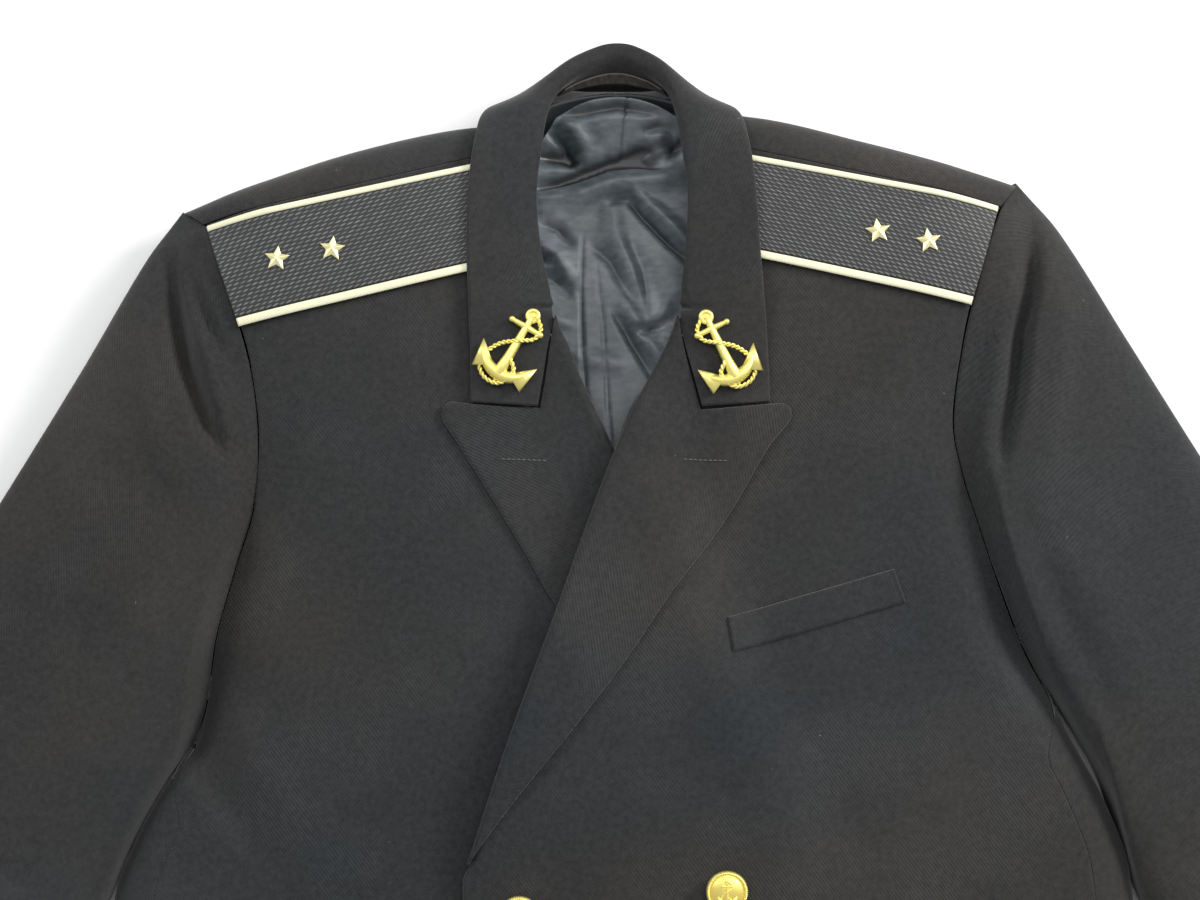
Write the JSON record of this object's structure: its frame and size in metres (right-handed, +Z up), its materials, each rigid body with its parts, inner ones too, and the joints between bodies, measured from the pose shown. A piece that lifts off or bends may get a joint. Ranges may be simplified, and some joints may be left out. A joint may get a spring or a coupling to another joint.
{
  "type": "military jacket",
  "caption": "Double-breasted naval uniform jacket laid flat, with peak lapels, shoulder straps, collar anchors, a breast welt and gilt buttons.",
  "frame": {"origin": "middle of the laid jacket's outline, on the surface that it lies on", "axes": "+X towards the wearer's left, +Y towards the collar, +Z up from the surface, out of the fronts"},
  "size_m": [1.099, 0.8244, 0.0516],
  "materials": {
    "black_wool": "black wool twill, matt with a short nap",
    "lining_satin": "blue-grey satin lining",
    "neck_tape": "dark brown-grey satin tape",
    "strap_galloon": "black braid woven in small raised lozenges",
    "cream_piping": "cream cord",
    "gilt_metal": "gilt"
  },
  "bodies": {
    "root": {"back": "black_wool", "front_right": "black_wool", "front_left": "black_wool", "side_right": "black_wool", "side_left": "black_wool", "upper_sleeve_right": "black_wool", "upper_sleeve_left": "black_wool", "under_sleeve_right": "black_wool", "under_sleeve_left": "black_wool", "lapel_right": "black_wool", "lapel_left": "black_wool", "collar": "black_wool", "breast_welt": "black_wool", "back_lining": "lining_satin", "collar_band": "neck_tape", "shoulder_strap_right": "strap_galloon", "shoulder_strap_left": "strap_galloon", "piping_back_right": "cream_piping", "piping_back_left": "cream_piping", "piping_front_right": "cream_piping", "piping_front_left": "cream_piping", "star_right_1": "gilt_metal", "star_right_2": "gilt_metal", "star_left_1": "gilt_metal", "star_left_2": "gilt_metal", "anchor_right": "gilt_metal", "anchor_left": "gilt_metal", "button_outer_1": "gilt_metal", "button_outer_2": "gilt_metal", "button_outer_3": "gilt_metal", "button_inner_1": "gilt_metal", "button_inner_2": "gilt_metal", "button_inner_3": "gilt_metal"}
  },
  "joints": []
}
